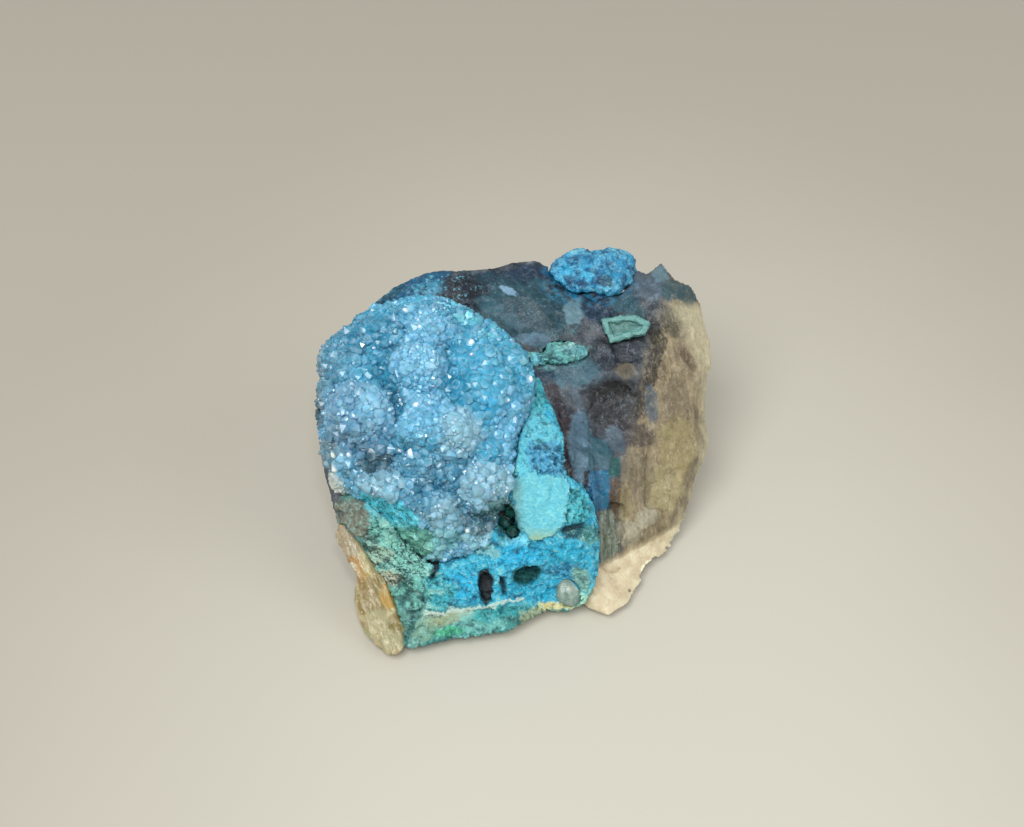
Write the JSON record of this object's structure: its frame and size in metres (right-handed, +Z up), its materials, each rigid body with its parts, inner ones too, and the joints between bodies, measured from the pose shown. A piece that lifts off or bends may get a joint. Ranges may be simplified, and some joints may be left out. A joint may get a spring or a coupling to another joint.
{
  "type": "mineral specimen of dioptase on quartz",
  "caption": "Loose mineral specimen: a smoky quartz flake with a drusy quartz dome, turquoise copper crusts and small green dioptase in a pocket, resting on its flat break.",
  "frame": {"origin": "middle of the footprint of the bounding box, on the table that the specimen rests on", "axes": "+Z up from the table; +X to the right along the show face; the show face looks towards -Y and up"},
  "size_m": [0.0398, 0.0392, 0.0248],
  "materials": {
    "smoky_quartz": "glassy broken quartz, smoky grey brown, thinning to a pale cream translucent edge",
    "drusy_quartz": "sparkling pale blue druse of small clear quartz points",
    "turquoise_crust": "matt granular turquoise crust with green wrinkles and dark pits",
    "chalcedony": "waxy translucent yellow chalcedony with orange staining",
    "blue_crust": "matt granular blue crust",
    "turquoise_ridge": "matt pale turquoise crust",
    "tabular_crystal": "grey green crystal with a raised turquoise border",
    "clear_quartz": "clear quartz, glassy",
    "dioptase": "vitreous deep emerald green"
  },
  "bodies": {
    "root": {"smoky_quartz_flake": "smoky_quartz", "drusy_quartz_dome": "drusy_quartz", "turquoise_crust": "turquoise_crust", "chalcedony_foot": "chalcedony", "blue_cap_crust": "blue_crust", "turquoise_ridge": "turquoise_ridge", "tabular_crystal": "tabular_crystal", "clear_quartz_chip": "clear_quartz", "dioptase_crystals": "dioptase"}
  },
  "joints": []
}
